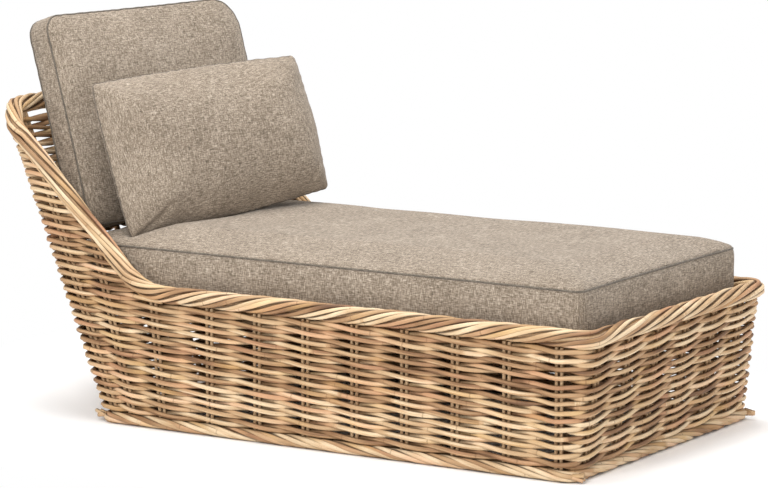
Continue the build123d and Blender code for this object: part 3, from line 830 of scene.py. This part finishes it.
def unevened(pad, seed, size, length):
    """Gives the cover slow swells that die out at its seams, and tells which of its points are held."""
    mesh = pad.cover.data
    points = read_points(mesh)
    gap, _ = nearest_on(np.vstack(pad.seams), points)
    held = gap < SEWN_REACH
    if pad.lies_flat:
        held |= points[:, 2] < 0.004 - SEAT_BOXING / 2
    shift = swell(points, size, length, seed) * (gap / SEAM_EASE).clip(0, 1) * ~held
    write_points(mesh, points + read_points(mesh, "normal") * shift[:, None])
    return np.nonzero(held)[0]


def inflate(stuffings):
    """Lets the covers swell under pressure, held at their seams, and caps how far each point moves."""
    scene = bpy.context.scene
    for made, held, stiff, _ in stuffings:
        group = made.vertex_groups.new(name="held")
        for k in held:
            group.add([int(k)], 1.0, "REPLACE")
        cloth = made.modifiers.new("cloth", "CLOTH")
        settings = cloth.settings
        settings.quality, settings.mass = 5, 0.3
        settings.tension_stiffness = settings.compression_stiffness = stiff
        settings.shear_stiffness, settings.bending_stiffness = stiff / 3, 0.6
        settings.use_pressure, settings.uniform_pressure_force = True, PRESSURE
        settings.effector_weights.gravity = 0
        settings.vertex_group_mass = "held"
    before = [read_points(made.data) for made, *_ in stuffings]
    for step in range(1, CLOTH_FRAMES + 1):
        scene.frame_set(step)
    for (made, _, _, cap), start in zip(stuffings, before):
        take_shape(made)
        moved = read_points(made.data) - start
        far = np.linalg.norm(moved, axis=1, keepdims=True)
        write_points(made.data, start + moved * np.minimum(1, cap / np.maximum(far, 1e-9)))
    scene.frame_set(1)


def smoothed(made):
    """One subdivision, with smooth shading."""
    made.modifiers.new("fine", "SUBSURF").levels = 1
    take_shape(made)
    made.data.polygons.foreach_set("use_smooth", [True] * len(made.data.polygons))


def sewn(made, seams, depth, width, pucker, creases=()):
    """Draws the cloth in along its seams, with small puckers beside them, and presses folds into it."""
    points, normals = read_points(made.data), read_points(made.data, "normal")
    along = np.concatenate([np.arange(len(seam)) * CLOSE_STEP for seam in seams])
    gap, which = nearest_on(np.vstack(seams), points)
    s = along[which]
    ruck = 0.5 + 0.5 * np.sin(s * 2 * pi / 0.031 + 2.2 * np.sin(s * 2 * pi / 0.17))
    press = depth * np.exp(-(gap / width) ** 2) + pucker * ruck * np.exp(-gap / 0.016)
    for (ax, ay), (bx, by), fold_depth, fold_width in creases:
        a, b = np.array([ax, ay]), np.array([bx, by])
        t = ((points[:, :2] - a) @ (b - a) / ((b - a) @ (b - a))).clip(0, 1)
        away = np.linalg.norm(points[:, :2] - a - t[:, None] * (b - a), axis=1)
        press += fold_depth * np.exp(-(away / fold_width) ** 2) * np.sin(pi * t) * (normals[:, 2] > 0)
    write_points(made.data, points - normals * press[:, None])


def pressed_by(lower, uppers):
    """Presses a cushion in where others stand on it, with a soft rim round each hollow."""
    mesh = lower.cover.data
    points = read_points(mesh)
    shift = np.array(lower.place.translation)
    need = np.zeros(len(points))
    for upper in uppers:
        place = np.array(upper.place)
        above = read_points(upper.cover.data) @ place[:3, :3].T + place[:3, 3] - shift
        surface = surface_of(above, upper.cover.data)
        low, high = above.min(0), above.max(0)
        under = ((points[:, :2] > low[:2]) & (points[:, :2] < high[:2])).all(1)
        for k in np.nonzero(under & (points[:, 2] > 0))[0]:
            hit = surface.ray_cast(Vector((points[k, 0], points[k, 1], -1)), Vector((0, 0, 1)))[0]
            if hit:
                need[k] = max(need[k], points[k, 2] - hit.z + 0.0012)
    ends = np.empty(len(mesh.edges) * 2, int)
    mesh.edges.foreach_get("vertices", ends)
    first, second = ends.reshape(-1, 2).T
    near = np.bincount(ends, minlength=len(points))
    depth = need.copy()
    for _ in range(16):
        total = np.bincount(first, depth[second], len(points))
        total += np.bincount(second, depth[first], len(points))
        depth = np.maximum(need, total / near)
    points[:, 2] -= depth * (points[:, 2] > 0.02)
    write_points(mesh, points)


def even_line(line, closed, step=CLOSE_STEP):
    """The same line with its points at even steps."""
    whole = np.vstack([line, line[:1]]) if closed else line
    s = lengths(whole)
    even = np.linspace(0, s[-1], max(int(s[-1] / step), 4), endpoint=not closed)
    return np.stack([np.interp(even, s, whole[:, k]) for k in range(whole.shape[1])], 1)


def laid_on(made, line, lift):
    """The line moved to the cloth's surface, with the surface's direction at each point."""
    surface = surface_of(read_points(made.data), made.data)
    found = [surface.find_nearest(Vector(place)) for place in line]
    normals = np.array([tuple(normal) for _, normal, _, _ in found])
    return np.array([tuple(place) for place, *_ in found]) + normals * lift, normals


def eased(line, closed):
    """The line with its small kinks smoothed out."""
    for _ in range(3):
        back, on = np.roll(line, 1, 0), np.roll(line, -1, 0)
        middle = (back + 2 * line + on) / 4
        if not closed:
            middle[[0, -1]] = line[[0, -1]]
        line = middle
    return line


class Pad:
    """One cushion in its own axes, x across it, y up it and z out of its front, and how it stands on the
    lounger: flat, or turned by a yaw, a lean and a roll in degrees."""

    def __init__(self, body, centre, yaw=0.0, lean=None, roll=0.0, sunk=0.0):
        self.body, self.lies_flat = body, lean is None
        yaw, roll = radians(yaw), radians(roll)
        if self.lies_flat:
            across, front = Vector((1, 0, 0)), Vector((0, 0, 1))
        else:
            lean = radians(lean)
            across = Vector((cos(yaw), -sin(yaw), 0))
            front = Vector((-sin(yaw) * cos(lean), -cos(yaw) * cos(lean), sin(lean)))
        up = front.cross(across)
        across = across * cos(roll) + up * sin(roll)
        self.place = Matrix((across, front.cross(across), front)).transposed().to_4x4()
        self.place.translation = centre - up * sunk

    def shape(self, width, height, corners, draw_in, boxing, crowns, sharpness, voxel, taper=0.0):
        """The cover before it is stuffed, its seams, and the filling inside it."""
        sizes = (width, height, corners, draw_in, taper)
        levels = (-boxing / 2, boxing / 2)
        outline = even_line(seam_outline(*sizes), True)
        self.seams = [np.insert(outline, 2, level, axis=1) for level in sorted(set(levels))]
        self.cover = self.form(f"{self.body}_fabric", sizes, levels, crowns, sharpness, voxel, linen_finish)
        corners = [max(corner - 0.014, 0.01) for corner in corners]
        sizes = (width - 2 * FILLING_INSET, height - 2 * FILLING_INSET, corners, draw_in, taper)
        levels, crowns = [level * 0.72 for level in levels], [crown * 0.6 for crown in crowns]
        name = f"{self.body}_stuffing"
        self.filling = self.form(name, sizes, levels, crowns, sharpness, FILLING_VOXEL, foam_finish)

    def form(self, name, sizes, levels, crowns, sharpness, voxel, finish):
        """One closed form between two seam levels, with a crown on each face or on the front alone."""
        back = [(seam_outline(*sizes), levels[0])]
        if crowns[0]:
            back = crown_rings(sizes, levels[0], -crowns[0], sharpness)[::-1]
        front = crown_rings(sizes, levels[1], crowns[1], sharpness)
        if levels[0] == levels[1]:
            back = back[:-1]
        return closed_form(name, back + front, voxel, finish)

    def add(self, made, slot, *nodes):
        """Puts a piece in the cushion's place and on its body, and hides the nodes it replaces. The slot is
        not used.
        """
        made.matrix_world = self.place
        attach(made, self.body)
        if nodes:
            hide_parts(*nodes)


def welted(pad, name, radius, *nodes):
    """Round piping along a cushion's seams, in the cover's linen painted darker as shade along them."""
    strands = Strands()
    for seam in pad.seams:
        line, normals = laid_on(pad.cover, seam, radius * 0.4)
        strands.add(eased(line, True), normals, radius, 0.5, closed=True)
    pad.add(strands.made(name, welt_painted_shade_finish, OWN_ORIGIN), "piping_fabric", *nodes)


def zipped(pad, start, end, node):
    """A closed zip let into a cushion's edge."""
    line = even_line(np.array([start, end], float), False, step=0.012)
    line, _ = laid_on(pad.cover, line, 0.0002)
    strands = Strands()
    strands.add(eased(line, False), UPWARDS, 0.0045, 0.5, oval=0.3)
    pad.add(strands.made(f"{pad.body}_zipper", zip_finish, OWN_ORIGIN), "zip_tape", node)


def stuffed_pads():
    """The seat cushion, the back cushion and the pillow, each stuffed and set in place."""
    seat_centre = Vector((0, (SEAT_FOOT + SEAT_HEAD) / 2, DECK_HEIGHT + SEAT_BOXING / 2 + 0.0005)) - MIDDLE
    back_centre, pillow_centre = (sum((Vector(corner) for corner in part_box(node)), Vector()) / 2
                                  for node in ("back_cushion_filling", "pillow_filling"))
    back_centre.x -= 0.006
    seat = Pad("seat_cushion", seat_centre)
    back = Pad("back_cushion", back_centre, yaw=9.0, lean=16.8, roll=0.3, sunk=0.012)
    pillow = Pad("pillow", pillow_centre, yaw=17.0, lean=17.2, roll=4.3, sunk=0.008)
    seat.shape(SEAT_WIDTH, SEAT_LENGTH, (SEAT_CORNER,) * 4, draw_in=0.005, boxing=SEAT_BOXING,
               crowns=(0, 0.029), sharpness=12.0, voxel=0.0104)
    back.shape(0.648, 0.507, (0.085, 0.046, 0.052, 0.060), draw_in=0.003, boxing=BACK_BOXING,
               crowns=(0.024, 0.024), sharpness=3.6, voxel=0.0078)
    pillow.shape(0.616, 0.354, (0.011,) * 4, draw_in=-0.006, boxing=0.0,
                 crowns=(0.058, 0.058), sharpness=3.6, voxel=0.0062, taper=0.055)
    stuffings = [
        (seat.cover, unevened(seat, seed=3, size=0.0015, length=0.35), 15, 0.010),
        (back.cover, unevened(back, seed=4, size=0.0025, length=0.24), 15, 0.022),
        (pillow.cover, unevened(pillow, seed=5, size=0.003, length=0.2), 12, 0.028),
    ]
    inflate(stuffings)
    for pad in (seat, back, pillow):
        smoothed(pad.cover)
    pressed_by(seat, (back, pillow))
    return seat, back, pillow


def cushions():
    """The three cushions with their seams, piping and zips."""
    seat, back, pillow = stuffed_pads()
    half_long = SEAT_LENGTH / 2
    corner_x, corner_y = SEAT_WIDTH / 2 - CORNER_SEAM_INSET, half_long - CORNER_SEAM_INSET
    posts = [np.array([(x, y, z) for z in np.linspace(-0.054, 0.054, 28)])
             for x in (-corner_x, corner_x) for y in (-corner_y, corner_y)]
    seat.seams[0][:, 2] += 0.003
    sewn(seat.cover, seat.seams, depth=0.0022, width=0.005, pucker=0.0012)
    sewn(seat.cover, posts, depth=0.0016, width=0.004, pucker=0.0006)
    sewn(back.cover, back.seams, depth=0.0022, width=0.0045, pucker=0.0012)
    # Each fold: its two ends, its depth and its width.
    folds = (((0.265, -0.095), (0.232, -0.158), 0.004, 0.006),
             ((-0.285, -0.160), (-0.235, -0.105), 0.002, 0.008),
             ((0.245, 0.150), (0.205, 0.115), 0.002, 0.008))
    sewn(pillow.cover, pillow.seams, depth=0.001, width=0.003, pucker=0.002, creases=folds)
    welted(seat, "seat_welts", 0.0022, "seat_cushion_piping")
    welted(back, "back_welts", 0.0022, "back_cushion_piping")
    welted(pillow, "pillow_seam", 0.0011)
    ties = Strands()
    for post in posts:
        line, normals = laid_on(seat.cover, post, 0.0002)
        ties.add(eased(line, False), normals, 0.0011, 0.5)
    seat.add(ties.made("seat_corner_seams", linen_finish, OWN_ORIGIN), "piping_fabric")
    zipped(seat, (-0.312, half_long, 0), (0.312, half_long, 0), "seat_cushion_zip")
    zipped(back, (-0.246, -0.262, 0), (0.246, -0.262, 0), "back_cushion_zip")
    zipped(pillow, (-0.15, -0.17, -0.008), (0.15, -0.17, -0.008), "pillow_zip")
    for pad, fill, cover, filling in (
        (seat, 0.8, "seat_cushion_cover", "seat_cushion_foam"),
        (back, 0.75, "back_cushion_cover", "back_cushion_filling"),
        (pillow, 0.65, "pillow_cover", "pillow_filling"),
    ):
        pad.add(pad.cover, "cushion_fabric", cover)
        pad.add(pad.filling, "foam", filling)


cushions()


# Finishes of the frame's own pieces

def dress(finish, *names):
    """Gives nodes of the model one finish."""
    for name in names:
        materials = frame["nodes"][name].data.materials
        materials.clear()
        materials.append(finish)


across_pole, long_pole, upright_pole = pole_finishes
dress(across_pole, "top_rail_foot", "top_rail_head", "base_rail_foot", "base_rail_head",
      "seat_rail_foot", "seat_rail_head", "base_cross_bars", "seat_cross_bars")
dress(long_pole, "top_rail_left", "top_rail_right", "base_rail_left", "base_rail_right",
      "seat_rail_left", "seat_rail_right", "seat_centre_rail")
dress(upright_pole, "foot_posts", "middle_posts", "head_posts",
      "stakes_left", "stakes_right", "stakes_foot", "stakes_head", "head_uprights")
dress(strand_finish, "cane_bindings")
dress(slat_finish, "seat_slats")
dress(steel_finish, "frame_screws", "slat_nails")


# Floor, light and camera

WHITE = (1, 1, 1, 1)
FLOOR_REACH = 30.0


def floor():
    """A plain pale floor that keeps the lounger's shadow and is seen as white away from it."""
    mesh = bpy.data.meshes.new("floor")
    corners = [(x * FLOOR_REACH, y * FLOOR_REACH, 0) for x, y in ((-1, -1), (1, -1), (1, 1), (-1, 1))]
    mesh.from_pydata(corners, [], [(0, 1, 2, 3)])
    made = bpy.data.objects.new("floor", mesh)
    bpy.context.scene.collection.objects.link(made)
    finish = Finish("pale_floor")
    mesh.materials.append(finish.shade(Base_Color=painted(252, 252, 252), Roughness=0.9))
    x, y, _ = finish.split(finish.place())
    beside, past_end = finish.beyond(x, 0.43), finish.beyond(y, 0.80)
    reach = (beside * beside + past_end * past_end) ** 0.5
    away = ((reach - 0.04) * 2.2).clamped() * finish.node("ShaderNodeLightPath", output="Is Camera Ray")
    white = finish.node("ShaderNodeEmission", None, {"Color": WHITE})
    finish.cover_with(away, white)


def lamp(name, place, power):
    """A large soft lamp that points at the lounger."""
    data = bpy.data.lights.new(name, "AREA")
    data.shape, data.size, data.energy = "DISK", 3.0, power
    made = bpy.data.objects.new(name, data)
    made.location = place
    made.rotation_euler = (Vector((0, 0, 0.3)) - Vector(place)).to_track_quat("-Z", "Y").to_euler()
    bpy.context.scene.collection.objects.link(made)


def world():
    """Even light from all round, seen as white by the camera and in what is glossy or clear."""
    studio = bpy.data.worlds.new("studio")
    studio.use_nodes = True
    nodes = Nodes(studio.node_tree)
    light = nodes.tree.nodes["Background"]
    nodes.put(light.inputs["Color"], WHITE)
    nodes.put(light.inputs["Strength"], 0.55)
    white = nodes.node("ShaderNodeBackground", None, {"Color": WHITE, "Strength": 1.0})
    seen, glossy, clear = (nodes.node("ShaderNodeLightPath", output=f"Is {ray} Ray")
                           for ray in ("Camera", "Glossy", "Transmission"))
    share = seen.maths("MAXIMUM", glossy).maths("MAXIMUM", clear)
    both = nodes.node("ShaderNodeMixShader", None, {0: share, 1: Socket(nodes, light.outputs[0]), 2: white})
    nodes.put(nodes.tree.nodes["World Output"].inputs["Surface"], both)
    bpy.context.scene.world = studio


def camera():
    """The photograph's view: a long lens, low and from the near foot side."""
    data = bpy.data.cameras.new("camera")
    data.lens, data.sensor_width, data.clip_end = 172.14, 36.0, 100.0
    made = bpy.data.objects.new("camera", data)
    turn, rise = radians(57.86), radians(8.85)
    ahead = Vector((cos(rise) * sin(turn), cos(rise) * cos(turn), -sin(rise)))
    made.location = Vector((-7.11291, -3.72801, 1.71163)) - MIDDLE
    made.rotation_euler = ahead.to_track_quat("-Z", "Y").to_euler()
    bpy.context.scene.collection.objects.link(made)
    bpy.context.scene.camera = made


floor()
lamp("key_lamp", (-4.6, -0.9, 3.4), 200)
lamp("fill_lamp", (0.8, -4.4, 2.6), 48)
lamp("top_lamp", (0.2, 0.4, 4.2), 150)
world()
camera()
bpy.context.scene.view_settings.view_transform = "Standard"
